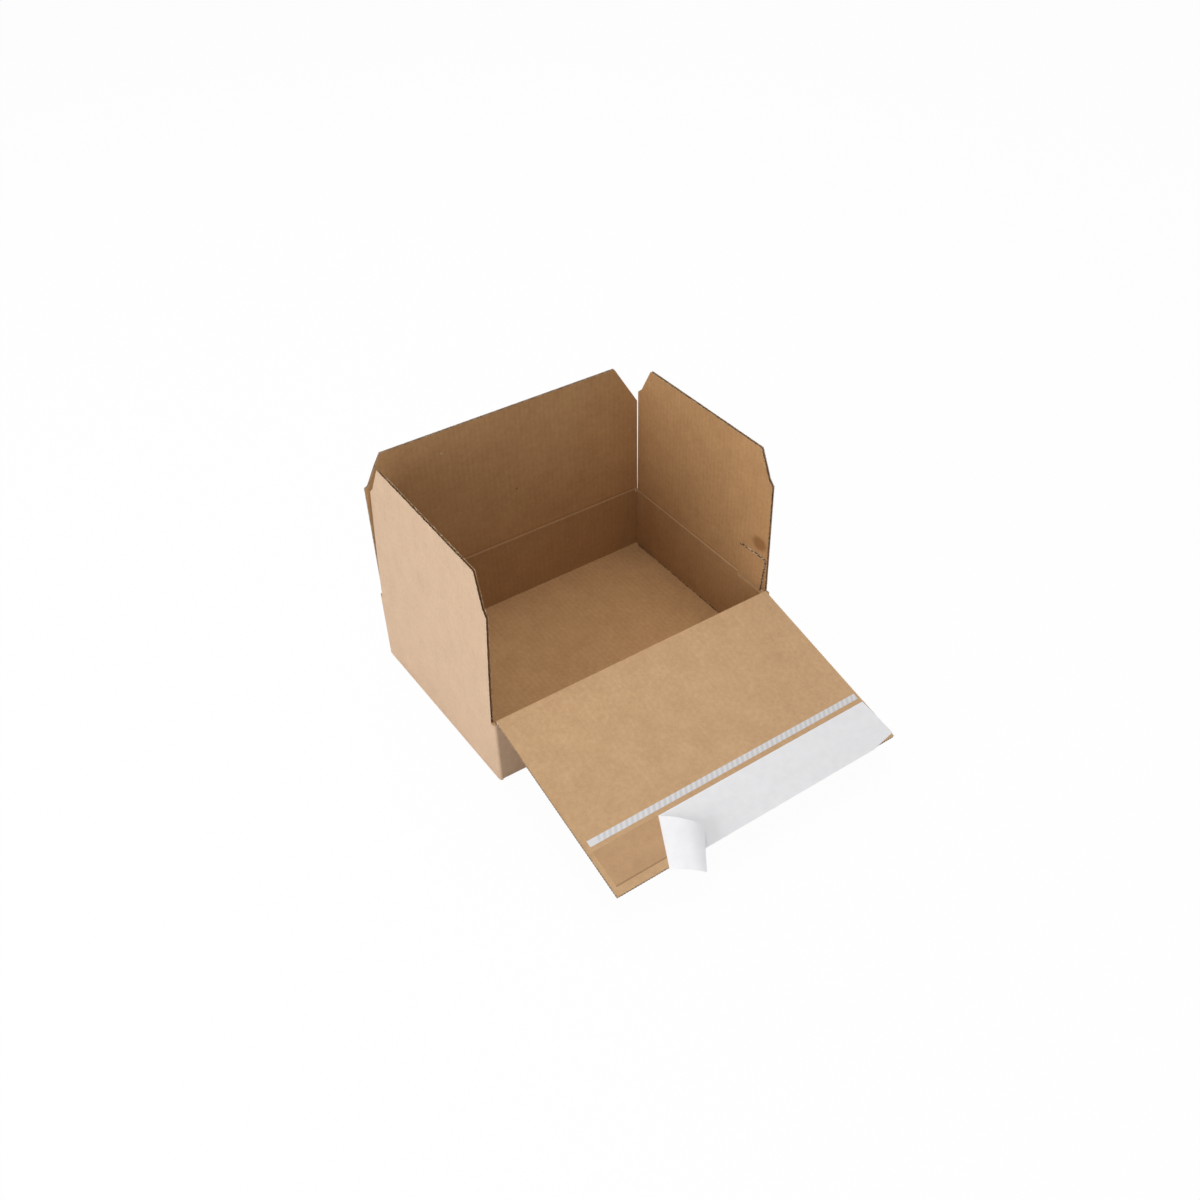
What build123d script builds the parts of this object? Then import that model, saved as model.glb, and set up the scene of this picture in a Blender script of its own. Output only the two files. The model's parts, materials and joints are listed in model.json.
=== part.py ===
from build123d import *
from math import cos, radians, sin, tan
import os

# A die-cut mailer box of single-wall corrugated board: four walls, a glued crash-lock
# bottom, two side flaps, a rear flap and a long front lid with a tear strip and a
# peel-and-seal strip. X runs along the front wall, Y to the rear, Z up, and the origin
# is the centre of the bottom. All sizes are in millimetres.

# The board: two flat liners and the wave of the medium between them
board = 2.9
facing = 0.4
medium = 0.3
flute_pitch = 6.26
flute_crest = 1.1

# The box, its creases and its flaps
box_width = 353.0
box_depth = 250.0
side_crease_height = 88.4
end_crease_height = 91.5
side_flap_width = 237.0
side_flap_length = 172.0
rear_flap_length = 172.0
lid_length = 212.0
side_step_height = 138.5
side_step = 6.5
side_step_slope = 6.0
corner_cut = 15.0
rear_cut_right = 142.0
rear_cut_right_height = 121.0
rear_cut_left = -151.0
rear_step_left = -169.5
rear_step_height = 138.5
rear_step_slope = 2.0
right_lean = 1.1
rear_lean = 0.7
lid_lean = 104.0

# Folds and creases: a fold is rounded, a crease is crushed to a thin web
fold_radius = 3.2
web = 0.6
web_gap = 0.8
crease_taper = 3.0
crush_length = 6.0
running_gap = 0.3
corner_top = 88.0
corner_bottom = 3.2
corner_slot = 0.4
fold_reach = 8.0

# The glue tab, an extension of the front wall inside the right wall and its flap
tab_rear = -75.0
tab_front = -116.5
tab_height = 42.5
tab_slope = 2.5
tab_taper = 4.0
tab_corner = 5.0

# The crash-lock bottom: the rear major flap and the front major with its arm lie on the
# front major's tongue and the two minor flaps
seam_gap = 1.0
major_half = 172.0
major_setback = 1.0
rear_major_slant = 8.3
seam_y = -60.0
seam_bend_x = -70.0
seam_bend = 44.0
seam_end = 76.0
arm_inset = 6.0
arm_tip_x = -122.0
arm_tip_y = 10.0
front_major_inset = 4.0
tongue_half = 84.0
tongue_root = 14.0
tongue_reach = 34.0
tongue_taper = 6.0
tongue_crown = 24.0
minor_setback = 2.0
minor_depth = 78.0
minor_taper = 6.0
minor_corner_y = 62.0
minor_heel = 22.0
minor_heel_drop = 4.0
tab_overlap = 56.0
score_width = 2.4
score_depth = 0.6

# What is stuck on the lid, placed from the lid's crease
tear_strip_edge = 152.0
tear_strip_width = 6.8
tear_strip_margins = (6.0, 3.0)
tear_strip_thickness = 0.12
adhesive_edge = 163.6
adhesive_width = 39.8
adhesive_margin = 5.0
adhesive_thickness = 0.15
release_edge = 164.0
release_width = 46.0
release_overhang = 1.5
release_thickness = 0.12
release_fold_start = 80.6
release_fold_slant = 24.5
tail_length = 46.0
tail_rise = 9.5
tail_end_height = 6.5
tail_short_side = 0.82
flat_overlap = 4.0
fold_back_radius = 0.9

# Places worked out from the sizes above
inner_width = box_width - 2 * board
inner_depth = box_depth - 2 * board
side_hinge = (box_width - board) / 2
end_hinge = (box_depth - board) / 2
end_flap_half = inner_width / 2 - running_gap
lid_left = -end_flap_half
lid_right = inner_width / 2 - board - running_gap
lid_middle = (lid_left + lid_right) / 2
floor_top = 2 * board
side_wall_width = side_flap_width + 2 * corner_slot

front = (0, -1, 0)
rear = (0, 1, 0)
left = (-1, 0, 0)
right = (1, 0, 0)


# A panel's frame on its crease: x along the crease, y out of the box, z up the panel
def crease_frame(origin, outward, lean=0):
    along = Vector(outward).cross(Vector(0, 0, 1))
    up = Vector(0, 0, 1) * cos(radians(lean)) + Vector(outward) * sin(radians(lean))
    return Plane(origin=origin, x_dir=along, z_dir=up)


# The mid plane of a panel: x along the crease, y up the panel, normal into the box
def panel_plane(frame):
    return Plane(origin=frame.origin, x_dir=frame.x_dir, z_dir=-frame.y_dir)


# The plane across a crease: x out of the box, y up the panel
def profile_plane(frame):
    return Plane(origin=frame.origin, x_dir=frame.y_dir, z_dir=frame.x_dir)


# Half of a crease, from the web at the fold line to the full board, with y away from it
def crease_profile(top):
    half = board / 2
    thin = web / 2
    Polygon(
        (thin, web_gap),
        (half, crease_taper),
        (half, top),
        (-half, top),
        (-half, crease_taper),
        (-thin, web_gap),
        align=None,
    )


# The board cut across its flutes: two facings joined by the slanted walls of the medium
def fluted_section(width):
    inner = board / 2 - facing
    run = (flute_pitch / 2 - flute_crest) / (2 * inner - medium)
    side_shift = medium / 2 * (1 + run**2) ** 0.5
    narrow = flute_crest / 2 + run * medium / 2 - side_shift
    wide = narrow + run * (2 * inner - medium)
    flutes = int(width / flute_pitch) - 1
    Rectangle(width, board)
    with GridLocations(flute_pitch, 0, flutes, 1):
        Polygon(
            (-wide, -inner),
            (wide, -inner),
            (narrow, inner - medium),
            (-narrow, inner - medium),
            align=None,
            mode=Mode.SUBTRACT,
        )
    with GridLocations(flute_pitch, 0, flutes + 1, 1):
        Polygon(
            (-narrow, medium - inner),
            (narrow, medium - inner),
            (wide, inner),
            (-wide, inner),
            align=None,
            mode=Mode.SUBTRACT,
        )


# A flap from its crease to its free edge, crushed solid beside the crease
def flap_board(frame, width, length):
    with BuildSketch(profile_plane(frame)) as crushed_end:
        crease_profile(crush_length)
    extrude(crushed_end.sketch, amount=width / 2, both=True)
    with BuildSketch(frame.offset(crush_length)) as section:
        fluted_section(width)
    extrude(section.sketch, amount=length - crush_length)


# A flap's outline, cut through the board; x along the crease and y up the flap
def cut_outline(frame, points):
    with BuildSketch(panel_plane(frame)) as outline:
        Polygon(*points, align=None)
    extrude(outline.sketch, amount=board, both=True, mode=Mode.INTERSECT)


# A wall with its rounded fold into the bottom and its crease at the top, drawn with x
# into the box from the wall's outer face
def folded_wall(outward, distance, width, crease_height, level):
    inward = -Vector(outward)
    across = Plane(origin=Vector(outward) * distance, x_dir=inward, z_dir=inward.cross(Vector(0, 0, 1)))
    full_top = crease_height - crease_taper
    with BuildSketch(across) as profile:
        Polygon((0, level), (fold_reach, level), (fold_reach, level + board), (board, level + board),
                (board, full_top), (0, full_top), align=None)
        fillet(vertices().sort_by_distance((0, level))[0], fold_radius)
        fillet(vertices().sort_by_distance((board, level + board))[0], fold_radius - board)
        with Locations((board / 2, crease_height)):
            Polygon((-board / 2, -crease_taper), (board / 2, -crease_taper), (web / 2, -web_gap),
                    (web / 2, 0), (-web / 2, 0), (-web / 2, -web_gap), align=None)
            Circle(web / 2)
    extrude(profile.sketch, amount=width / 2, both=True)


# The glue tab doubles the panel at its crease, so both of its parts are cut at 45 degrees
# there, which leaves room for the flap to close
def mitre_tab(frame, side):
    start = (board + running_gap) / 2
    depth = board + running_gap
    with BuildSketch(profile_plane(frame)) as wedge:
        Polygon((-board / 2, -side * board), (-board / 2, side * start),
                (-board / 2 - depth, side * (start + depth)), (-board / 2 - depth, -side * board),
                align=None)
    extrude(wedge.sketch, amount=box_depth / 2, both=True, mode=Mode.SUBTRACT)


left_frame = crease_frame((-side_hinge, 0, side_crease_height), left)
right_frame = crease_frame((side_hinge, 0, side_crease_height), right, right_lean)
rear_frame = crease_frame((0, end_hinge, end_crease_height), rear, rear_lean)
lid_frame = crease_frame((lid_middle, -end_hinge, end_crease_height), front, lid_lean)

# The rear major flap of the bottom: its right side slants, and its front edge sweeps
# up on the left in the curve that locks behind the front major's arm
major_root = inner_depth / 2 - major_setback
major_front_right = major_half - (major_root - seam_y) * tan(radians(rear_major_slant))
with BuildSketch() as rear_major:
    with BuildLine():
        slanted_side = Line((major_half, major_root), (major_front_right, seam_y))
        seam = Line(slanted_side @ 1, (seam_bend_x, seam_y))
        bend_end = (seam_bend_x - seam_bend, seam_y + seam_bend)
        lower_bend = TangentArc(seam @ 1, bend_end, tangent=seam % 1)
        seam_tip = (seam_bend_x - seam_end, seam_y + seam_end)
        upper_bend = TangentArc(lower_bend @ 1, seam_tip, tangent=lower_bend % 1)
        Polyline(upper_bend @ 1, (-major_half, major_root), slanted_side @ 0)
    make_face()

# The front major fills the rest, a little clear of the seam, with its arm on the left
with BuildSketch() as front_major:
    with BuildLine():
        arm_side = Line((-major_half, -major_root), (arm_inset - major_half, 0))
        arm_tip = TangentArc(arm_side @ 1, (arm_tip_x, arm_tip_y), tangent=arm_side % 1)
        Polyline(arm_tip @ 1, (seam_bend_x, seam_y), (major_front_right, seam_y),
                 (major_half - front_major_inset, -major_root), arm_side @ 0)
    make_face()
    offset(rear_major.sketch, amount=seam_gap, mode=Mode.SUBTRACT)

# The front major's tongue dips under the rear major, level with the minor flaps
with BuildSketch() as tongue:
    with BuildLine():
        shoulder_x = tongue_half - tongue_taper
        shoulder_y = tongue_reach - tongue_crown
        tongue_side = Line((tongue_half, seam_y - tongue_root), (shoulder_x, shoulder_y))
        tongue_end = ThreePointArc(tongue_side @ 1, (0, tongue_reach), (-shoulder_x, shoulder_y))
        Polyline(tongue_end @ 1, (-tongue_half, seam_y - tongue_root), tongue_side @ 0)
    make_face()

# The minor flaps lie lowest; a diagonal score lets the end of each, glued to a major, fold
minor_root = inner_width / 2 - major_setback
minor_side = inner_depth / 2 - minor_setback
minor_edge = minor_depth - minor_root
minor_outline = [
    (-minor_root, -minor_side),
    (tab_overlap - minor_root, minor_taper - minor_side),
    (minor_edge, minor_depth - minor_side),
    (minor_edge - minor_taper, minor_corner_y),
    (minor_heel - minor_root, minor_side - minor_heel_drop),
    (-minor_root, minor_side),
]

# The four walls with the bottom flaps, the corners between them and the lower glue tab
with BuildPart() as box_body:
    folded_wall(front, box_depth / 2, 2 * end_flap_half, end_crease_height, board)
    folded_wall(rear, box_depth / 2, 2 * end_flap_half, end_crease_height, board)
    folded_wall(left, box_width / 2, side_wall_width, side_crease_height, 0)
    folded_wall(right, box_width / 2, side_wall_width, side_crease_height, 0)
    with BuildSketch(Plane.XY.offset(corner_bottom)):
        RectangleRounded(box_width, box_depth, fold_radius)
        Rectangle(inner_width, inner_depth, mode=Mode.SUBTRACT)
        Rectangle(2 * end_flap_half, box_depth, mode=Mode.SUBTRACT)
        Rectangle(box_width, side_wall_width, mode=Mode.SUBTRACT)
    extrude(amount=corner_top - corner_bottom)
    with BuildSketch():
        Polygon(*minor_outline, align=None)
        Polygon(*[(-x, -y) for x, y in minor_outline], align=None)
        add(tongue.sketch)
    extrude(amount=board)
    with BuildSketch(Plane.XY.offset(board)):
        add(rear_major.sketch)
        add(front_major.sketch)
    extrude(amount=board)
    with BuildSketch():
        for side in (-1, 1):
            corner = Vector(side * minor_root, side * minor_side)
            with Locations(corner - Vector(side, side) * minor_depth / 2):
                Rectangle(minor_depth * 2**0.5, score_width, rotation=45)
    extrude(amount=score_depth, mode=Mode.SUBTRACT)
    with BuildSketch(panel_plane(crease_frame(right_frame.origin, right)).offset(board / 2)):
        Polygon((-tab_rear, floor_top - side_crease_height), (-tab_rear, -board / 2),
                (inner_depth / 2, -board / 2), (inner_depth / 2, floor_top - side_crease_height),
                align=None)
    extrude(amount=board)
    mitre_tab(crease_frame(right_frame.origin, right), -1)

# The side flaps: each side steps in near the top and ends in a long corner cut
side_half = side_flap_width / 2
side_steps = [
    (side_half, 0),
    (side_half, side_step_height - side_step_slope),
    (side_half - side_step, side_step_height),
    (side_half - side_step - corner_cut, side_flap_length),
]
side_outline = side_steps + [(-x, y) for x, y in reversed(side_steps)]

with BuildPart() as left_flap:
    flap_board(left_frame, side_flap_width, side_flap_length)
    cut_outline(left_frame, side_outline)

with BuildPart() as right_flap:
    flap_board(right_frame, side_flap_width, side_flap_length)
    cut_outline(right_frame, side_outline)
    with BuildSketch(panel_plane(right_frame).offset(board / 2)):
        Polygon((-tab_rear, board / 2), (-tab_front - tab_taper, board / 2),
                (-tab_front, tab_height), (-tab_rear, tab_height - tab_slope), align=None)
        fillet(vertices().group_by(Axis.X)[-1].sort_by(Axis.Y)[-1], tab_corner)
    extrude(amount=board)
    mitre_tab(right_frame, 1)

# The rear flap: one long cut on its right, a step and a shorter cut on its left
with BuildPart() as rear_flap:
    flap_board(rear_frame, 2 * end_flap_half, rear_flap_length)
    cut_outline(rear_frame, [
        (-end_flap_half, 0),
        (end_flap_half, 0),
        (end_flap_half, rear_cut_right_height),
        (rear_cut_right, rear_flap_length),
        (rear_cut_left, rear_flap_length),
        (rear_step_left, rear_step_height),
        (-end_flap_half, rear_step_height - rear_step_slope),
    ])

# The lid is a plain rectangle, a little narrower on the glue tab's side
with BuildPart() as lid_flap:
    flap_board(lid_frame, lid_right - lid_left, lid_length)

# The lid's inner face, with x to the left along its crease and y towards its free edge
lid_face = panel_plane(lid_frame).offset(board / 2)
lid_half = (lid_right - lid_left) / 2

with BuildPart() as tear_strip:
    with BuildSketch(lid_face):
        strip_ends = (lid_half - tear_strip_margins[0], tear_strip_margins[1] - lid_half)
        with Locations((sum(strip_ends) / 2, tear_strip_edge + tear_strip_width / 2)):
            Rectangle(strip_ends[0] - strip_ends[1], tear_strip_width)
    extrude(amount=tear_strip_thickness)

with BuildPart() as adhesive_strip:
    with BuildSketch(lid_face):
        with Locations((-adhesive_margin / 2, adhesive_edge + adhesive_width / 2)):
            Rectangle(2 * lid_half - adhesive_margin, adhesive_width)
    extrude(amount=adhesive_thickness)

# The release liner lies on the adhesive from its fold to past the lid's right edge. Its
# peeled end is folded back along a slanting line and arches over the flat part.
release_face = lid_face.offset(adhesive_thickness)
fold_top = Vector(lid_half - release_fold_start, release_edge)
fold_along = Vector(sin(radians(release_fold_slant)), cos(radians(release_fold_slant)))
fold_bottom = fold_top + fold_along * (release_width / cos(radians(release_fold_slant)))
fold_across = Vector(-fold_along.Y, fold_along.X)
tail_direction = fold_along * fold_along.X + fold_across * fold_along.Y

with BuildPart() as tail:
    fold_origin = release_face.from_local_coords(fold_top)
    tail_plane = Plane(
        origin=fold_origin,
        x_dir=release_face.from_local_coords(fold_top + fold_across) - fold_origin,
        z_dir=release_face.from_local_coords(fold_top + fold_along) - fold_origin,
    )
    with BuildSketch(tail_plane):
        with BuildLine():
            flat_end = Line((flat_overlap, 0), (fold_back_radius, 0))
            fold_end = (fold_back_radius / 2, 2 * fold_back_radius)
            fold = TangentArc(flat_end @ 1, fold_end, tangent=flat_end % 1)
            ThreePointArc(fold @ 1, (tail_length / 2, tail_rise), (tail_length, tail_end_height))
            offset(amount=release_thickness, side=Side.RIGHT)
        make_face()
    extrude(amount=2 * release_width, both=True)
    with BuildSketch(release_face):
        reach = tail_direction * tail_length / fold_along.Y
        Polygon(fold_top - fold_across, fold_top + reach, fold_bottom + reach * tail_short_side,
                fold_bottom - fold_across, align=None)
    extrude(amount=3 * tail_rise, both=True, mode=Mode.INTERSECT)

with BuildPart() as release_liner:
    with BuildSketch(release_face):
        right_end = -lid_half - release_overhang
        Polygon(
            fold_top + fold_across,
            (right_end, release_edge),
            (right_end, release_edge + release_width),
            fold_bottom + fold_across,
            align=None,
        )
    extrude(amount=release_thickness)
    add(tail.part)

os.makedirs("parts", exist_ok=True)
pieces = {
    "box_body": box_body,
    "left_flap": left_flap,
    "right_flap": right_flap,
    "rear_flap": rear_flap,
    "lid_flap": lid_flap,
    "tear_strip": tear_strip,
    "adhesive_strip": adhesive_strip,
    "release_liner": release_liner,
}
for name, piece in pieces.items():
    piece.part.label = name
    export_step(piece.part, f"parts/{name}.step")
    print(name, len(piece.part.solids()), round(piece.part.volume / 1000, 2), "cm3")
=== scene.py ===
import json
import math

import bmesh
import bpy
from mathutils import Matrix, Vector


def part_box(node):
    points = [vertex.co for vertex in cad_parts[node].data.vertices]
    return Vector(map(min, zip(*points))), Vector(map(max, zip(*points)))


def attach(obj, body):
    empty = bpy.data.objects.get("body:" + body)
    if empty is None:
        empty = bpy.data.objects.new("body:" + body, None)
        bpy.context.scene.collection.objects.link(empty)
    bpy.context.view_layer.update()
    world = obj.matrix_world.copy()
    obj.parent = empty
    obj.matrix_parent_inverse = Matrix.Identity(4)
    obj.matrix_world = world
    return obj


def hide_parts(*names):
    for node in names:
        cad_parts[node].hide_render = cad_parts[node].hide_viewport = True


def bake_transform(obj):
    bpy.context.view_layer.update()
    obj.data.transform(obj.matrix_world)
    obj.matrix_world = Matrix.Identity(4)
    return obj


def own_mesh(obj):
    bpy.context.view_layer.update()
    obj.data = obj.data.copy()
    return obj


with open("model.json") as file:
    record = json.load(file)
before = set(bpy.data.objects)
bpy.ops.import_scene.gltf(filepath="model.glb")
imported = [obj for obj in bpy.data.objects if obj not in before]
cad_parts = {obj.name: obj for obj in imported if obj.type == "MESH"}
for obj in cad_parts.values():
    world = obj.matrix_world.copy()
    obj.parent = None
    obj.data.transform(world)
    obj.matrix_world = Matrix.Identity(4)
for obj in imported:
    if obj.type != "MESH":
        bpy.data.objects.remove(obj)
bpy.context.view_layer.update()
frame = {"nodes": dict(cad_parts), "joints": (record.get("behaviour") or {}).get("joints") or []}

# An open mailer box of kraft corrugated board. The board's faces are toothed sheets with
# the wave of the flutes between them, and each flap runs on over its crease to its wall.

mm = 0.001
joints = {joint["name"]: joint for joint in frame["joints"]}
upward = Vector((0, 0, 1))
snap = 1e-7    # points nearer to each other than this are one

board = {
    "thickness": 2.9 * mm,
    "facing": 0.38 * mm,
    "medium": 0.26 * mm,
    "flutePitch": 6.26 * mm,
    "fluteSteps": 10,
    "toothPitch": 3.02 * mm,
    "toothDepth": 0.46 * mm,
    "toothSteps": 4,
    "recess": 0.5 * mm,    # the medium ends a little inside the faces
    "creaseReach": 3.0 * mm,    # how far the crease's crushing goes into the wall
    "boardStart": 6.0 * mm,    # where the open flutes of a flap begin
    "bowSteps": 16,
    "bowPower": 1.2,    # above 1, a warped flap bends most near its free edge
}


# Materials

def addNode(tree, kind, settings=None, inputs=None):
    node = tree.nodes.new(kind)
    for name, value in (settings or {}).items():
        setattr(node, name, value)
    for name, value in (inputs or {}).items():
        if isinstance(value, bpy.types.NodeSocket):
            tree.links.new(value, node.inputs[name])
        else:
            node.inputs[name].default_value = value
    return node


def addMath(tree, operation, first, second):
    return addNode(tree, "ShaderNodeMath", {"operation": operation}, {0: first, 1: second}).outputs[0]


# The layers added up, each times its share
def addUp(tree, layers, shares):
    parts = [addMath(tree, "MULTIPLY", layer, share) for layer, share in zip(layers, shares)]
    total = parts[0]
    for part in parts[1:]:
        total = addMath(tree, "ADD", total, part)
    return total


# A value between low and high, carried over to between 0 and top
def remap(tree, value, low, high, top=1.0):
    return addNode(tree, "ShaderNodeMapRange", None,
                   {"Value": value, "From Min": low, "From Max": high, "To Max": top}).outputs[0]


# The mix node's sockets 6 and 7 and its output 2 are the ones for colours
def mixColour(tree, factor, first, second):
    return addNode(tree, "ShaderNodeMix", {"data_type": "RGBA"},
                   {0: factor, 6: first, 7: second}).outputs[2]


def coordinate(tree, position, axis):
    return addNode(tree, "ShaderNodeSeparateXYZ", None, {0: position}).outputs[axis]


def addNoise(tree, position, sizes, detail, roughness):
    place = addNode(tree, "ShaderNodeMapping", None,
                    {"Vector": position, "Scale": [1 / size for size in sizes]})
    return addNode(tree, "ShaderNodeTexNoise", None,
                   {"Vector": place.outputs[0], "Scale": 1.0, "Detail": detail,
                    "Roughness": roughness}).outputs["Fac"]


def evenNoise(tree, position, size, detail, roughness):
    return addNoise(tree, position, (size,) * 3, detail, roughness)


# Noise drawn out along the flutes, which run along Y on a panel whose width is along X
def streakNoise(tree, position, across, width, length, detail, roughness):
    sizes = (width, length, length) if across == "X" else (length, width, length)
    return addNoise(tree, position, sizes, detail, roughness)


def addBands(tree, vector, across, pitch, ragged=0.0, raggedScale=1.0):
    return addNode(tree, "ShaderNodeTexWave", {"wave_type": "BANDS", "bands_direction": across},
                   {"Vector": vector, "Scale": math.pi / 10 / pitch, "Distortion": ragged,
                    "Detail Scale": raggedScale}).outputs["Fac"]


def addBump(tree, shader, height, strength, distance):
    bump = addNode(tree, "ShaderNodeBump", None,
                   {"Height": height, "Strength": strength, "Distance": distance})
    tree.links.new(bump.outputs[0], shader.inputs["Normal"])


def startMaterial(name, roughness, specular=0.3):
    material = bpy.data.materials.new(name)
    material.use_nodes = True
    tree = material.node_tree
    shader = tree.nodes["Principled BSDF"]
    shader.inputs["Roughness"].default_value = roughness
    shader.inputs["Specular IOR Level"].default_value = specular
    position = tree.nodes.new("ShaderNodeTexCoord").outputs["Object"]
    return material, tree, shader, position


kraft = {
    "outside": ((0.490, 0.340, 0.228, 1), (0.580, 0.410, 0.278, 1)),    # dark and light pulp
    "lid": ((0.502, 0.308, 0.158, 1), (0.612, 0.392, 0.212, 1)),
    # Painted shade: inside and walls are darker, more saturated copies of the lid's kraft, which is
    # the same liner. They stand for the shade deep in the box and on the walls below the creases
    "inside": ((0.440, 0.246, 0.108, 1), (0.548, 0.322, 0.148, 1)),
    "walls": ((0.385, 0.217, 0.093, 1), (0.482, 0.285, 0.130, 1)),
    "speck": (0.75, 0.60, 0.42, 1),
    "darkSpeck": (0.16, 0.09, 0.045, 1),
    "roughness": 0.78,
    # At a crease: a light line, partly wear and partly painted highlight where the crushed lip
    # catches the light, and a dark line of painted shade in the groove above it
    "creaseWear": (    # height from the crease, half width, colour, strength
        (-1.9 * mm, 2.5 * mm, (0.66, 0.48, 0.30, 1), 0.5),
        (0.3 * mm, 1.5 * mm, (0.24, 0.13, 0.055, 1), 0.35),
    ),
    # The mottle breaks up both the worn, highlighted line and the painted shade line at the crease
    "creasePatches": 0.5,    # below 1, the mottle breaks up the worn line
    "fluteShade": {"outside": 0.015, "lid": 0.015, "inside": 0.06, "walls": 0.06},
    "cloudSize": 28 * mm,
    "streakWidth": 0.9 * mm,
    "streakLength": 60 * mm,
    "wideStreakWidth": 3 * mm,
    "wideStreakLength": 120 * mm,
    "fibreSize": 1.3 * mm,
    "mottleSize": 4.5 * mm,
    "shares": (0.28, 0.07, 0.05, 0.30, 0.30),    # of these five, in this order
    "contrast": (0.39, 0.61),
    "fleckSize": 0.9 * mm,
    "paleFlecks": (0.72, 0.78),
    "darkFlecks": (0.27, 0.22),
    "fleckStrength": 0.45,
    "markEdge": (1.2, 0.8),
    "markRagged": 0.5,
    "reliefShares": (0.5, 0.5, 0.35),    # of fibre, streak and flutes
    "reliefStrength": 0.35,
    "reliefDepth": 0.12 * mm,
}


# Kraft face: clouded pulp, long streaks along the flutes, fibre specks and the faint
# washboard of the flutes below. The marks are (centre, radii, colour, strength).
def makeKraft(name, tones, across, marks=(), creaseHeight=None):
    material, tree, shader, position = startMaterial(name, kraft["roughness"])
    dark, light = kraft[tones]
    cloud = evenNoise(tree, position, kraft["cloudSize"], 4.0, 0.6)
    streak = streakNoise(tree, position, across,
                         kraft["streakWidth"], kraft["streakLength"], 3.0, 0.6)
    wideStreak = streakNoise(tree, position, across,
                             kraft["wideStreakWidth"], kraft["wideStreakLength"], 2.0, 0.5)
    fibre = evenNoise(tree, position, kraft["fibreSize"], 3.0, 0.7)
    mottle = evenNoise(tree, position, kraft["mottleSize"], 3.0, 0.6)
    pulp = addUp(tree, (cloud, streak, wideStreak, fibre, mottle), kraft["shares"])
    colour = mixColour(tree, remap(tree, pulp, *kraft["contrast"]), dark, light)

    flutes = addBands(tree, position, across, board["flutePitch"])
    shade = addMath(tree, "MULTIPLY", flutes, kraft["fluteShade"][tones])
    colour = mixColour(tree, shade, colour, kraft["darkSpeck"])

    flecks = evenNoise(tree, position, kraft["fleckSize"], 1.0, 0.5)
    for fleck, tint in (("paleFlecks", "speck"), ("darkFlecks", "darkSpeck")):
        shown = remap(tree, flecks, *kraft[fleck], kraft["fleckStrength"])
        colour = mixColour(tree, shown, colour, kraft[tint])

    # Painted highlight and wear on the crease's lip, and painted shade in its groove just above
    if creaseHeight:
        height = coordinate(tree, position, "Z")
        patches = addMath(tree, "ADD", mottle, kraft["creasePatches"])
        for offset, halfWidth, tint, strength in kraft["creaseWear"]:
            above = addMath(tree, "SUBTRACT", height, creaseHeight + offset)
            line = remap(tree, addMath(tree, "ABSOLUTE", above, 0.0), halfWidth, 0.0, strength)
            colour = mixColour(tree, addMath(tree, "MULTIPLY", line, patches), colour, tint)
    for centre, radii, tint, strength in marks:
        place = addNode(tree, "ShaderNodeMapping", {"vector_type": "TEXTURE"},
                        {"Vector": position, "Location": centre, "Scale": radii})
        length = addNode(tree, "ShaderNodeVectorMath", {"operation": "LENGTH"},
                         {0: place.outputs[0]}).outputs["Value"]
        ragged = addMath(tree, "ADD", length, addMath(tree, "MULTIPLY", cloud, kraft["markRagged"]))
        colour = mixColour(tree, remap(tree, ragged, *kraft["markEdge"], strength), colour, tint)
    tree.links.new(colour, shader.inputs["Base Color"])

    relief = addUp(tree, (fibre, streak, flutes), kraft["reliefShares"])
    addBump(tree, shader, relief, kraft["reliefStrength"], kraft["reliefDepth"])
    return material


edgeLook = {
    # Partly the fibre's own dark, partly painted shade in the hollows where the grain's relief is low
    "dark": (0.095, 0.048, 0.023, 1),
    "light": (0.660, 0.500, 0.340, 1),
    "roughness": 0.9,
    "specular": 0.15,
    "grainSize": 2.6 * mm,
    "contrast": (0.44, 0.60),
    "reliefStrength": 0.5,
    "reliefDepth": 0.2 * mm,
}


# Cut edge: torn fibre, dark partly of its own and partly with painted shade in its hollows, and pale
# where the knife bruised it
def makeCutEdge():
    material, tree, shader, position = startMaterial("cutEdge", edgeLook["roughness"],
                                                     edgeLook["specular"])
    grain = evenNoise(tree, position, edgeLook["grainSize"], 3.0, 0.7)
    colour = mixColour(tree, remap(tree, grain, *edgeLook["contrast"]),
                       edgeLook["dark"], edgeLook["light"])
    tree.links.new(colour, shader.inputs["Base Color"])
    addBump(tree, shader, grain, edgeLook["reliefStrength"], edgeLook["reliefDepth"])
    return material


# Panels: each flap's own frame on its crease, with x along the crease, y out of the box
# and z up the flap. Every flap's materials are in the order of these slots.

insideSlot, outsideSlot, edgeSlot = 0, 1, 2


def panelMatrix(jointName, outward, leanDegrees):
    origin = Vector(joints[jointName]["pos_m"])
    outward = Vector(outward)
    lean = math.radians(leanDegrees)
    along = outward.cross(upward)
    up = upward * math.cos(lean) + outward * math.sin(lean)
    normal = outward * math.cos(lean) - upward * math.sin(lean)
    return Matrix.Translation(origin) @ Matrix((along, normal, up)).transposed().to_4x4()


def newMeshObject(name, bm, materials):
    mesh = bpy.data.meshes.new(name)
    bm.to_mesh(mesh)
    bm.free()
    for material in materials:
        mesh.materials.append(material)
    piece = bpy.data.objects.new(name, mesh)
    bpy.context.scene.collection.objects.link(piece)
    return piece


# Keeps the corners crisp where neighbouring faces are smooth
def sharpen(bm, degrees=24):
    for edge in bm.edges:
        flat = len(edge.link_faces) == 2 and edge.calc_face_angle() < math.radians(degrees)
        edge.smooth = flat


def onlyVerts(items):
    return [item for item in items if isinstance(item, bmesh.types.BMVert)]


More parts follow.
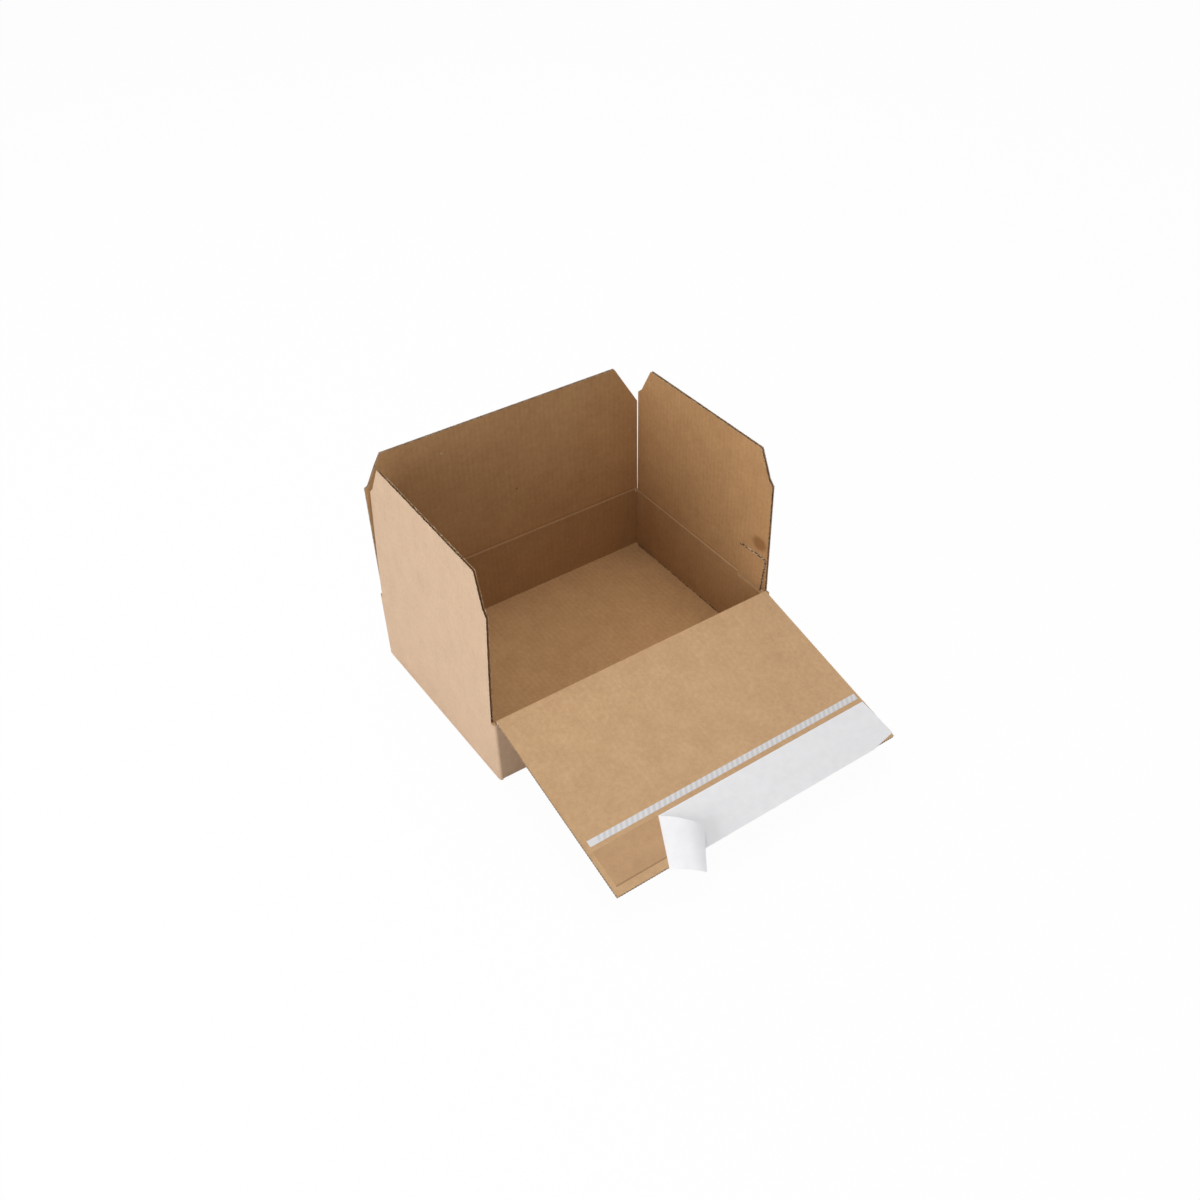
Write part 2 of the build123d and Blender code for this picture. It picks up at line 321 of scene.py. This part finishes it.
def extrudeFaces(bm, faces, along):
    grown = bmesh.ops.extrude_face_region(bm, geom=faces)
    bmesh.ops.translate(bm, verts=onlyVerts(grown["geom"]), vec=along)
    bmesh.ops.recalc_face_normals(bm, faces=bm.faces[:])


def cutPlane(bm, point, normal, **options):
    bmesh.ops.bisect_plane(bm, geom=bm.verts[:] + bm.edges[:] + bm.faces[:],
                           plane_co=point, plane_no=normal, **options)


# One face of the board: the outline with its sides cut into teeth, made as thick as a
# facing. The first side, along the crease, stays straight.
def makeFacing(outline, offset, slot):
    bm = bmesh.new()
    corners = [bm.verts.new((x, offset, k)) for x, k in outline]
    centre = bm.faces.new(corners).calc_center_median()
    sides = [(bm.edges.get(pair), pair[0].co.copy(), pair[1].co.copy())
             for pair in zip(corners[1:], corners[2:] + corners[:1])]
    for edge, start, end in sides:
        side = end - start
        teeth = max(1, round(side.length / board["toothPitch"]))
        inward = Vector((-side.z, 0, side.x)).normalized()
        if inward.dot(centre - start) < 0:
            inward.negate()
        cut = bmesh.ops.subdivide_edges(bm, edges=[edge], cuts=board["toothSteps"] * teeth - 1)
        for vert in onlyVerts(cut["geom_inner"]):
            phase = (vert.co - start).length / side.length * teeth * 2 * math.pi
            vert.co -= inward * board["toothDepth"] / 2 * math.cos(phase)
    extrudeFaces(bm, bm.faces[:], (0, board["facing"], 0))
    for f in bm.faces:
        f.material_index = edgeSlot if abs(f.normal.y) < 0.5 else slot
    return bm


# The medium: one sine line across the board, drawn up the flap and trimmed to its outline
def makeMedium(outline):
    half = board["thickness"] / 2 - board["facing"] - board["medium"] / 2
    low = min(x for x, k in outline) + board["recess"]
    high = max(x for x, k in outline) - board["recess"]
    top = max(k for x, k in outline)
    steps = round((high - low) / board["flutePitch"] * board["fluteSteps"])
    bm = bmesh.new()
    row = [bm.verts.new((low + (high - low) * i / steps, 0, board["boardStart"]))
           for i in range(steps + 1)]
    for vert in row:
        vert.co.y = half * math.sin(2 * math.pi * vert.co.x / board["flutePitch"])
    line = [bm.edges.new(pair) for pair in zip(row, row[1:])]
    grown = bmesh.ops.extrude_edge_only(bm, edges=line)
    bmesh.ops.translate(bm, verts=onlyVerts(grown["geom"]), vec=(0, 0, top - board["boardStart"]))
    centre = Vector((0, 0, top / 2))
    for (startX, startK), (endX, endK) in zip(outline, outline[1:] + outline[:1]):
        start = Vector((startX, 0, startK))
        side = Vector((endX, 0, endK)) - start
        away = side.cross(Vector((0, 1, 0))).normalized()
        if away.dot(start - centre) < 0:
            away.negate()
        alongCrease = away.z < -0.99
        if not alongCrease:
            cutPlane(bm, start - away * board["recess"], away, dist=snap, clear_outer=True)
    bmesh.ops.recalc_face_normals(bm, faces=bm.faces[:])
    bmesh.ops.solidify(bm, geom=bm.faces[:], thickness=board["medium"])
    for f in bm.faces:
        f.material_index = edgeSlot
    return bm


# The crushed board over a crease, from the wall below it to the start of the flutes: the
# depth of each face, in millimetres from the board's middle, at these places up the flap
creaseProfile = {
    "places": (-3.0, -2.2, -1.4, -0.6, 0.6, 1.4, 2.2, 3.2, 6.0),
    "inner": (1.45, 1.50, 1.46, 1.26, 1.26, 1.38, 1.44, 1.45, 1.45),
    "outer": (1.45, 1.45, 1.44, 1.43, 1.43, 1.44, 1.45, 1.45, 1.45),
    "innerBent": (1.45, 1.45, 1.44, 1.40, 1.40, 1.44, 1.45, 1.45, 1.45),
    "outerBent": (1.45, 1.30, 0.85, 0.42, 0.42, 0.85, 1.30, 1.45, 1.45),
    "bentFrom": 20.0,    # degrees of lean from which the crease is a bend
    "turnRadius": 1.36,
    "turns": 6,
}


# Whether all of a face's corners are on the line that runs through these points along x
def liesOn(face, points):
    return all(min((vert.co.yz - point.yz).length for point in points) < snap
               for vert in face.verts)


def makeCrease(low, high, leanDegrees):
    bent = leanDegrees > creaseProfile["bentFrom"]
    lean = math.radians(leanDegrees)
    inner = creaseProfile["innerBent" if bent else "inner"]
    outer = creaseProfile["outerBent" if bent else "outer"]
    lastBelow = max(place for place in creaseProfile["places"] if place < 0)
    wallUp = Vector((0, -math.sin(lean), math.cos(lean)))    # the wall, seen from the flap
    wallOut = Vector((0, math.cos(lean), math.sin(lean)))
    innerLine, outerLine = [], []
    for place, inside, outside in zip(creaseProfile["places"], inner, outer):
        up, out = (wallUp, wallOut) if place < 0 else (Vector((0, 0, 1)), Vector((0, 1, 0)))
        innerLine.append(up * place * mm - out * inside * mm)
        outerLine.append(up * place * mm + out * outside * mm)
        if place == lastBelow and bent:
            for step in range(1, creaseProfile["turns"]):
                turned = lean * (1 - step / creaseProfile["turns"])
                normal = Vector((0, math.cos(turned), math.sin(turned)))
                innerLine.append(-normal * creaseProfile["turnRadius"] * mm)
    bm = bmesh.new()
    section = [bm.verts.new(point + Vector((low, 0, 0))) for point in innerLine + outerLine[::-1]]
    extrudeFaces(bm, [bm.faces.new(section)], (high - low, 0, 0))
    for f in bm.faces:
        f.smooth = True
        f.material_index = edgeSlot
        if abs(f.normal.x) < 0.5:
            if liesOn(f, innerLine):
                f.material_index = insideSlot
            elif liesOn(f, outerLine):
                f.material_index = outsideSlot
    sharpen(bm)
    return bm


def joinMeshes(parts):
    whole = bmesh.new()
    for part in parts:
        mesh = bpy.data.meshes.new("part")
        part.to_mesh(mesh)
        part.free()
        whole.from_mesh(mesh)
        bpy.data.meshes.remove(mesh)
    return whole


# A flap from the wall below its crease to its free edge: two facings, the medium between
# them and the crushed crease. The bow is how far the warped board leans in at its top, at
# the two ends of its crease.
def makeFlap(name, matrix, outline, leanDegrees, materials, bow):
    half = board["thickness"] / 2
    start = board["boardStart"]
    low, high = outline[0][0], outline[1][0]
    top = max(k for x, k in outline)
    boardOutline = [(x, max(k, start)) for x, k in outline]
    flap = joinMeshes([
        makeFacing(boardOutline, -half, insideSlot),
        makeFacing(boardOutline, half - board["facing"], outsideSlot),
        makeMedium(boardOutline),
        makeCrease(low, high, leanDegrees),
    ])
    if any(bow):
        for step in range(1, board["bowSteps"]):
            cutPlane(flap, (0, 0, start + (top - start) * step / board["bowSteps"]), (0, 0, 1))
        for vert in flap.verts:
            share = (vert.co.x - low) / (high - low)
            raised = max(0.0, vert.co.z / top) ** board["bowPower"]
            vert.co.y -= (bow[0] * (1 - share) + bow[1] * share) * raised
    bmesh.ops.transform(flap, matrix=matrix, verts=flap.verts[:])
    return newMeshObject(name, flap, materials)


print("materials")
marks = {    # centre, radii, colour, strength
    "rear": [
        ((5.3 * mm, 123 * mm, 157 * mm), (1.3 * mm, 6 * mm, 1.6 * mm),
         (0.10, 0.06, 0.035, 1), 0.8),
        ((-82.6 * mm, 124 * mm, 237.4 * mm), (1.6 * mm, 6 * mm, 1.3 * mm),
         (0.62, 0.50, 0.36, 1), 0.8),
    ],
    "right": [
        ((174 * mm, -103.5 * mm, 144.5 * mm), (14 * mm, 14 * mm, 11.5 * mm),
         (0.30, 0.140, 0.050, 1), 0.9),
    ],
}
endCrease = joints["rear_flap_fold"]["pos_m"][2]
sideCrease = joints["right_flap_fold"]["pos_m"][2]
# The flaps' inner faces, the floor and the inner walls take these darker copies, as painted shade
# inside the box
shadedInsideX = makeKraft("kraftInsideX", "inside", "X", marks["rear"], endCrease)
shadedInsideY = makeKraft("kraftInsideY", "inside", "Y", marks["right"], sideCrease)
lidInside = makeKraft("kraftLid", "lid", "X")
shadedWallsX = makeKraft("kraftWallsX", "walls", "X")
shadedWallsY = makeKraft("kraftWallsY", "walls", "Y")
outsideX = makeKraft("kraftOutsideX", "outside", "X")
outsideY = makeKraft("kraftOutsideY", "outside", "Y")
cutEdge = makeCutEdge()
sideMaterials = [shadedInsideY, outsideY, cutEdge]
endMaterials = [shadedInsideX, outsideX, cutEdge]

print("flaps")
# Each outline starts with its crease, in millimetres along it and up the flap
leftFlap = {
    "outline": ((-118.5, 0), (118.5, 0), (121.4, 137), (115, 143), (100.5, 173.9), (-97, 173.9),
                (-112, 139.5), (-118.5, 133.5)),
    "lean": 0.0,
    "bow": (7.8 * mm, 9.6 * mm),
}
rightFlap = {
    "outline": ((-121.8, 0), (118.5, 0), (115.3, 137), (109, 143), (94, 173.9), (-98, 173.9),
                (-115, 143), (-121.8, 137)),
    "lean": 0.0,
    "bow": (0.0, 0.0),
}
rearFlap = {
    "outline": ((-173.3, 0), (173.5, 0), (173.5, 121), (142, 172), (-151, 172), (-158, 160.5),
                (-169.5, 138.5), (-173.3, 136.5)),
    "lean": 0.7,
    "bow": (0.0, 0.0),
}
lid = {
    "outline": ((-170.4, 0), (173.3, 0), (173.3, 212), (-170.4, 212)),
    "lean": 104.0,
    "bow": (0.0, 0.0),
}


def layFlap(name, node, jointName, outward, shape, materials):
    matrix = panelMatrix(jointName, outward, shape["lean"])
    outline = [(x * mm, k * mm) for x, k in shape["outline"]]
    flap = makeFlap(name, matrix, outline, shape["lean"], materials, shape["bow"])
    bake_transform(flap)
    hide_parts(node)


layFlap("left_flap_board", "left_flap", "left_flap_fold", (-1, 0, 0),
        leftFlap, sideMaterials)
layFlap("right_flap_board", "right_flap", "right_flap_fold", (1, 0, 0),
        rightFlap, sideMaterials)
layFlap("rear_flap_board", "rear_flap", "rear_flap_fold", (0, 1, 0),
        rearFlap, endMaterials)
layFlap("lid_board", "lid_flap", "lid_fold", (0, -1, 0), lid, [lidInside, outsideX, cutEdge])

print("box body")
bodyWarp = {
    "front": (3.5 * mm, 4.5 * mm),    # how far the left corners' feet are pushed in
    "rear": (0.0, -2.0 * mm),
    "height": 88 * mm,
    "seam": -60 * mm,
    "seamBend": -55 * mm,    # left of this the seam would rise
    "seamTop": 24 * mm,
    "seamGap": 0.5 * mm,
    "seamShare": 0.1,    # how much of the rise is left
    "wallDepth": 4 * mm,
}
bodyFaces = {
    "skin": 3.4 / 3 * mm,    # faces this near the outside are outside
    "slack": 0.1 * mm,
    "square": 0.7,    # a face whose normal has this much of an axis looks along it
}


# Small settlings of the real box: its left corners stand in a little at the foot, and the
# seam of the bottom's flaps stays low at the left
def settleBody(bm):
    low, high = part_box("box_body")
    front, rear = bodyWarp["front"], bodyWarp["rear"]
    seam, gap = bodyWarp["seam"], bodyWarp["seamGap"]
    for vert in bm.verts:
        x, y, z = vert.co
        onFloor = z < 2 * board["thickness"] + bodyFaces["slack"]
        leftOfBend = low.x + bodyWarp["wallDepth"] < x < bodyWarp["seamBend"]
        if onFloor and leftOfBend and seam + gap < y < bodyWarp["seamTop"]:
            vert.co.y = seam + gap + (y - seam) * bodyWarp["seamShare"]
        toLeft = (high.x - x) / (high.x - low.x) * max(0.0, 1 - z / bodyWarp["height"])
        toRear = (y - low.y) / (high.y - low.y)
        vert.co.x += toLeft * (front[0] + (rear[0] - front[0]) * toRear)
        vert.co.y += toLeft * (front[1] + (rear[1] - front[1]) * toRear)


# The walls, the corners and the glued bottom, smoothed over their rounded folds
def dressBody():
    low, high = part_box("box_body")
    skin, slack, square = bodyFaces["skin"], bodyFaces["slack"], bodyFaces["square"]
    thickness = board["thickness"]
    # The inside and walls looks carry painted shade: darker kraft copies on the floor and the inner
    # walls
    slots = {"walls": (0, 1), "outside": (2, 3), "inside": (5, 6), "edge": (4, 4)}
    bm = bmesh.new()
    bm.from_mesh(frame["nodes"]["box_body"].data)
    bmesh.ops.remove_doubles(bm, verts=bm.verts[:], dist=0.001 * mm)
    for f in bm.faces:
        f.smooth = True
        centre = f.calc_center_median()
        level = abs(f.normal.z) > square
        fluteEnds = thickness < centre.z < 2 * thickness - slack and abs(f.normal.z) < 0.5
        if (centre.x < low.x + skin or centre.x > high.x - skin
                or centre.y < low.y + skin or centre.y > high.y - skin or f.normal.z < -0.5):
            look = "outside"
        elif fluteEnds:
            look = "edge"
        else:
            look = "inside" if level else "walls"
        alongSide = abs(f.normal.x) > square or (level and centre.z < thickness + slack)
        f.material_index = slots[look][0 if alongSide else 1]
    sharpen(bm)
    settleBody(bm)
    body = newMeshObject("box_walls_and_bottom", bm,
                         [shadedWallsY, shadedWallsX, outsideY, outsideX, cutEdge, shadedInsideY, shadedInsideX])
    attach(body, "base")
    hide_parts("box_body")


dressBody()

print("glue tab")
glueTab = {    # places along the crease and heights above it
    "rear": -75.0 * mm,
    "front": -116.5 * mm,
    "low": -112.5 * mm,
    "foot": -2.0 * mm,
    "height": 42.5 * mm,
    "slope": 2.5 * mm,
    "corner": 5.0 * mm,
    "cornerSteps": 6,
    "reach": 2.0 * mm,
}


# The part of the glue tab on the right flap: one more layer of board, its end rounded
def makeTab():
    matrix = panelMatrix("right_flap_fold", (1, 0, 0), rightFlap["lean"])
    corner = glueTab["corner"]
    outline = [(-glueTab["rear"], glueTab["foot"]), (-glueTab["low"], glueTab["foot"])]
    for step in range(glueTab["cornerSteps"] + 1):
        turn = math.radians(90 * step / glueTab["cornerSteps"])
        outline.append((-glueTab["front"] - corner + corner * math.cos(turn),
                        glueTab["height"] - corner + corner * math.sin(turn)))
    outline.append((-glueTab["rear"], glueTab["height"] - glueTab["slope"]))
    bm = bmesh.new()
    face = bm.faces.new([bm.verts.new((x, -board["thickness"] / 2, k)) for x, k in outline])
    extrudeFaces(bm, [face], (0, -board["thickness"], 0))
    cutPlane(bm, (0, 0, glueTab["reach"]), (0, 0, 1))
    for f in bm.faces:
        f.material_index = edgeSlot if abs(f.normal.y) < 0.5 else insideSlot
    bmesh.ops.transform(bm, matrix=matrix, verts=bm.verts[:])
    tab = newMeshObject("glue_tab_upper", bm, sideMaterials)
    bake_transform(tab)


makeTab()

print("tear strip and adhesive")
tearTape = {
    "pale": (0.69, 0.68, 0.685, 1),
    "grey": (0.56, 0.545, 0.545, 1),
    "roughness": 0.45,
    "specular": 0.4,
    "hatchPitch": 5.6 * mm,
    "hatchTilt": 28.0,
    "hatchRagged": 1.2,
    "hatchRaggedScale": 60.0,
    "hatchEdge": (0.35, 0.65),
    "hatchStrength": 0.75,
    "plainEnd": 10 * mm,
    "plainFade": 1 * mm,
}
adhesive = {
    "shade": (0.452, 0.266, 0.134, 1),
    "light": (0.532, 0.325, 0.170, 1),
    "roughness": 0.55,
    "specular": 0.22,
    "cloudSize": 14 * mm,
    "grainSize": 1.6 * mm,
    "shares": (0.6, 0.4),
    "contrast": (0.35, 0.65),
    "rim": (1.6 * mm, 0.9 * mm),    # from its outer edge, where its dark rim begins and is full
    "rimStrength": 0.45,
    "reliefStrength": 0.4,
    "reliefDepth": 0.1 * mm,
}


# Tear strip: pale tape with a row of slanted blocks and a plain left end
def makeTearTape(leftEnd):
    material, tree, shader, position = startMaterial("tearTape", tearTape["roughness"],
                                                     tearTape["specular"])
    turned = addNode(tree, "ShaderNodeMapping", None,
                     {"Vector": position, "Rotation": (0, 0, math.radians(tearTape["hatchTilt"]))})
    hatch = addBands(tree, turned.outputs[0], "X", tearTape["hatchPitch"],
                     tearTape["hatchRagged"], tearTape["hatchRaggedScale"])
    block = remap(tree, hatch, *tearTape["hatchEdge"], tearTape["hatchStrength"])
    plainTo = leftEnd + tearTape["plainEnd"]
    past = remap(tree, coordinate(tree, position, "X"), plainTo, plainTo + tearTape["plainFade"])
    colour = mixColour(tree, addMath(tree, "MULTIPLY", block, past),
                       tearTape["pale"], tearTape["grey"])
    tree.links.new(colour, shader.inputs["Base Color"])
    return material


# Adhesive: a clear film that deepens the kraft below and takes a soft shine
def makeAdhesive(outerEdge):
    material, tree, shader, position = startMaterial("adhesiveFilm", adhesive["roughness"],
                                                     adhesive["specular"])
    cloud = evenNoise(tree, position, adhesive["cloudSize"], 4.0, 0.6)
    grain = evenNoise(tree, position, adhesive["grainSize"], 2.0, 0.6)
    value = addUp(tree, (cloud, grain), adhesive["shares"])
    begins, full = adhesive["rim"]
    rim = remap(tree, coordinate(tree, position, "Y"), outerEdge + begins, outerEdge + full,
                adhesive["rimStrength"])
    colour = mixColour(tree, remap(tree, value, *adhesive["contrast"]),
                       adhesive["shade"], adhesive["light"])
    tree.links.new(mixColour(tree, rim, colour, kraft["darkSpeck"]), shader.inputs["Base Color"])
    addBump(tree, shader, grain, adhesive["reliefStrength"], adhesive["reliefDepth"])
    return material


def finishNode(name, material):
    node = frame["nodes"][name]
    node.data.materials.clear()
    node.data.materials.append(material)


finishNode("tear_strip", makeTearTape(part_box("tear_strip")[0].x))
finishNode("adhesive_strip", makeAdhesive(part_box("adhesive_strip")[0].y))

print("release liner")
liner = {
    "shade": (0.79, 0.79, 0.805, 1),
    "light": (0.835, 0.835, 0.85, 1),
    # Painted shade: the back, seen on the peeled curl, is a darker copy of the same paper, against
    # the strong left lamp that the curl faces
    "backShade": (0.725, 0.725, 0.745, 1),
    "backLight": (0.765, 0.765, 0.785, 1),
    "roughness": 0.42,
    "specular": 0.4,
    "cloudSize": 9 * mm,
    "contrast": (0.3, 0.7),
    "waveSize": 22 * mm,
    "waveStrength": 0.2,
    "waveDepth": 0.5 * mm,
}
release = {
    "edge": 164.0 * mm,    # its upper edge, up the lid
    "width": 50.0 * mm,    # it reaches a little past the lid's free edge
    "inset": 1.2 * mm,    # from the lid's right edge at its upper corner
    "overhang": 1.2 * mm,    # past the lid's right edge at its lower corner
    "cornerCut": 30.0 * mm,
    "cornerRise": 5.5 * mm,
    "foldStart": 80.6 * mm,
    "foldSlant": 24.5,
    "foldRadius": 0.9 * mm,
    "tailTop": 47.0 * mm,
    "tailBottom": 37.0 * mm,
    "tailRise": 3.5 * mm,
    "firstRise": 38.0,    # degrees that the peeled end stands up after its fold
    "lastRise": -22.0,
    "risePower": 1.15,
    "riseSteps": 40,
    "turnCuts": (0.3 * mm, 10),    # spacing and number of the cuts along the fold
    "tailCuts": (1.5 * mm, 36),
    "tailStart": 3.2 * mm,
    "strips": (4.5 * mm, 60),
    "rows": 12,
    "thickness": 0.08 * mm,
    "lift": 0.17 * mm,
}


def makeReleasePaper(name, shade, light):
    material, tree, shader, position = startMaterial(name, liner["roughness"], liner["specular"])
    cloud = evenNoise(tree, position, liner["cloudSize"], 4.0, 0.6)
    colour = mixColour(tree, remap(tree, cloud, *liner["contrast"]), shade, light)
    tree.links.new(colour, shader.inputs["Base Color"])
    waves = evenNoise(tree, position, liner["waveSize"], 2.0, 0.5)
    addBump(tree, shader, waves, liner["waveStrength"], liner["waveDepth"])
    return material


# Where the sheet is at a distance past its fold: how far back over the strip, and how high
def curlAt(distance):
    radius = release["foldRadius"]
    fullTurn = math.radians(180 - release["firstRise"])
    turned = min(distance / radius, fullTurn)
    across, height = -radius * math.sin(turned), radius * (1 - math.cos(turned))
    rest = distance - radius * fullTurn
    if rest <= 0:
        return across, height
    first, last, steps = release["firstRise"], release["lastRise"], release["riseSteps"]
    for step in range(steps):
        share = (step + 0.5) / steps * rest / release["tailTop"]
        slope = math.radians(first + (last - first) * share ** release["risePower"])
        across += math.cos(slope) * rest / steps
        height += math.sin(slope) * rest / steps
    return across, height


# The liner is laid out flat, cut into strips along its fold, and rolled over strip by strip
def makeReleaseLiner():
    matrix = panelMatrix("lid_fold", (0, -1, 0), lid["lean"])
    lidRight, lidLeft = (x * mm for x, k in lid["outline"][:2])
    slant = math.radians(release["foldSlant"])
    alongFold = Vector((math.sin(slant), 0, math.cos(slant)))
    acrossFold = Vector((-math.cos(slant), 0, math.sin(slant)))    # towards what is stuck down
    foldTop = Vector((lidLeft - release["foldStart"], 0, release["edge"]))
    low, high = release["edge"], release["edge"] + release["width"]
    foldBottomX = foldTop.x + release["width"] * math.tan(slant)
    outline = [
        (lidRight + release["inset"], low),
        (foldTop.x + release["tailTop"], low),
        (foldBottomX + release["tailBottom"], high - release["tailRise"]),
        (foldBottomX, high),
        (lidRight + release["cornerCut"], high),
        (lidRight - release["overhang"], high - release["cornerRise"]),
    ]
    bm = bmesh.new()
    bm.faces.new([bm.verts.new((x, 0, k)) for x, k in outline])
    turnPitch, turnCount = release["turnCuts"]
    tailPitch, tailCount = release["tailCuts"]
    cuts = [turnPitch * i for i in range(turnCount)]
    cuts += [release["tailStart"] + tailPitch * i for i in range(tailCount)]
    for cut in cuts:
        cutPlane(bm, foldTop - acrossFold * cut, acrossFold)
    stripPitch, stripCount = release["strips"]
    for step in range(1, stripCount):
        cutPlane(bm, (foldTop.x - step * stripPitch, 0, 0), (1, 0, 0))
    for step in range(1, release["rows"]):
        cutPlane(bm, (0, 0, low + release["width"] * step / release["rows"]), (0, 0, 1))
    surface = -board["thickness"] / 2 - release["lift"]
    for vert in bm.verts:
        past = -(vert.co - foldTop).dot(acrossFold)
        along = (vert.co - foldTop).dot(alongFold)
        if past > 0:
            back, height = curlAt(past)
            vert.co = foldTop + alongFold * along + acrossFold * back
            vert.co.y = surface - height
        else:
            vert.co.y = surface
    bmesh.ops.transform(bm, matrix=matrix, verts=bm.verts[:])
    bmesh.ops.recalc_face_normals(bm, faces=bm.faces[:])
    for f in bm.faces:
        f.smooth = True
    sharpen(bm)
    # The back, on the curl, takes the darker copy as painted shade
    sheet = newMeshObject("release_liner_sheet", bm, [
        makeReleasePaper("releasePaperBack", liner["backShade"], liner["backLight"]),
        makeReleasePaper("releasePaperFace", liner["shade"], liner["light"]),
    ])
    solid = sheet.modifiers.new("paper", "SOLIDIFY")
    solid.thickness = release["thickness"]
    solid.offset = 0.0
    solid.material_offset = 1
    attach(sheet, "lid")
    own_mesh(sheet)
    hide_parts("release_liner")


makeReleaseLiner()

print("floor, lights and camera")
studio = {
    "floorShade": 0.86,
    "floorGlow": 0.97,    # how much of the floor's own shade and shadow plain white hides
    "floorReach": 6.0,
    "worldStrength": 0.34,
    "lampSize": 1.6,
    "lampAim": (0, 0, 0.1),
    "lamps": (    # name, place, power
        ("left softbox", (-1.9, -0.3, 0.6), 26.8),
        ("top softbox", (0.0, 0.0, 2.3), 20.3),
        ("rear softbox", (0.2, 1.5, 1.8), 11.6),
    ),
}


# 1 for the camera's rays and for those that reach it by gloss or through glass, which all
# see plain white
def directRays(tree):
    path = tree.nodes.new("ShaderNodeLightPath")
    seen = addMath(tree, "MAXIMUM", path.outputs["Is Camera Ray"], path.outputs["Is Glossy Ray"])
    return addMath(tree, "MAXIMUM", seen, path.outputs["Is Transmission Ray"])


def makeFloorMaterial():
    material, tree, shader, position = startMaterial("whiteGround", 0.9, 0.0)
    shader.inputs["Base Color"].default_value = (studio["floorShade"],) * 3 + (1,)
    glow = addNode(tree, "ShaderNodeEmission", None, {"Color": (1, 1, 1, 1), "Strength": 1.0})
    share = addMath(tree, "MULTIPLY", directRays(tree), studio["floorGlow"])
    mix = addNode(tree, "ShaderNodeMixShader", None,
                  {0: share, 1: shader.outputs[0], 2: glow.outputs[0]})
    tree.links.new(mix.outputs[0], tree.nodes["Material Output"].inputs["Surface"])
    return material


ground = bmesh.new()
bmesh.ops.create_grid(ground, x_segments=1, y_segments=1, size=studio["floorReach"])
floor = newMeshObject("ground", ground, [makeFloorMaterial()])


def addLamp(name, position, power):
    lamp = bpy.data.lights.new(name, "AREA")
    lamp.shape = "DISK"
    lamp.size = studio["lampSize"]
    lamp.energy = power
    lampObject = bpy.data.objects.new(name, lamp)
    lampObject.location = position
    direction = Vector(studio["lampAim"]) - Vector(position)
    lampObject.rotation_euler = direction.to_track_quat("-Z", "Y").to_euler()
    bpy.context.scene.collection.objects.link(lampObject)


for name, position, power in studio["lamps"]:
    addLamp(name, position, power)

world = bpy.data.worlds.new("studio")
bpy.context.scene.world = world
world.use_nodes = True
worldTree = world.node_tree
background = worldTree.nodes["Background"]
background.inputs["Color"].default_value = (1, 1, 1, 1)
strength = addNode(worldTree, "ShaderNodeMapRange", None,
                   {"Value": directRays(worldTree), "To Min": studio["worldStrength"], "To Max": 1.0})
worldTree.links.new(strength.outputs[0], background.inputs["Strength"])

photoCamera = {    # where the photograph was taken from, seen from the box's origin
    "azimuth": -33.70,
    "elevation": 40.27,
    "roll": -1.09,
    "distance": 1393.8 * mm,
    "sideways": 28.15 * mm,
    "upwards": 59.34 * mm,
    "focalPixels": 1208.6,
    "imagePixels": 1200.0,
    "sensorWidth": 36.0,
}


def addPhotoCamera():
    azimuth = math.radians(photoCamera["azimuth"])
    elevation = math.radians(photoCamera["elevation"])
    roll = math.radians(photoCamera["roll"])
    back = Vector((math.sin(azimuth) * math.cos(elevation),
                   -math.cos(azimuth) * math.cos(elevation), math.sin(elevation)))
    right = Vector((math.cos(azimuth), math.sin(azimuth), 0))
    up = back.cross(right)
    place = (back * photoCamera["distance"] + right * photoCamera["sideways"]
             + up * photoCamera["upwards"])
    rolledRight = right * math.cos(roll) + up * math.sin(roll)
    rolledUp = up * math.cos(roll) - right * math.sin(roll)
    camera = bpy.data.objects.new("photo camera", bpy.data.cameras.new("photo camera"))
    camera.matrix_world = (Matrix.Translation(place)
                           @ Matrix((rolledRight, rolledUp, back)).transposed().to_4x4())
    sensor = photoCamera["sensorWidth"]
    camera.data.sensor_width = sensor
    camera.data.lens = sensor * photoCamera["focalPixels"] / photoCamera["imagePixels"]
    bpy.context.scene.collection.objects.link(camera)
    bpy.context.scene.camera = camera


addPhotoCamera()
bpy.context.scene.view_settings.view_transform = "Standard"
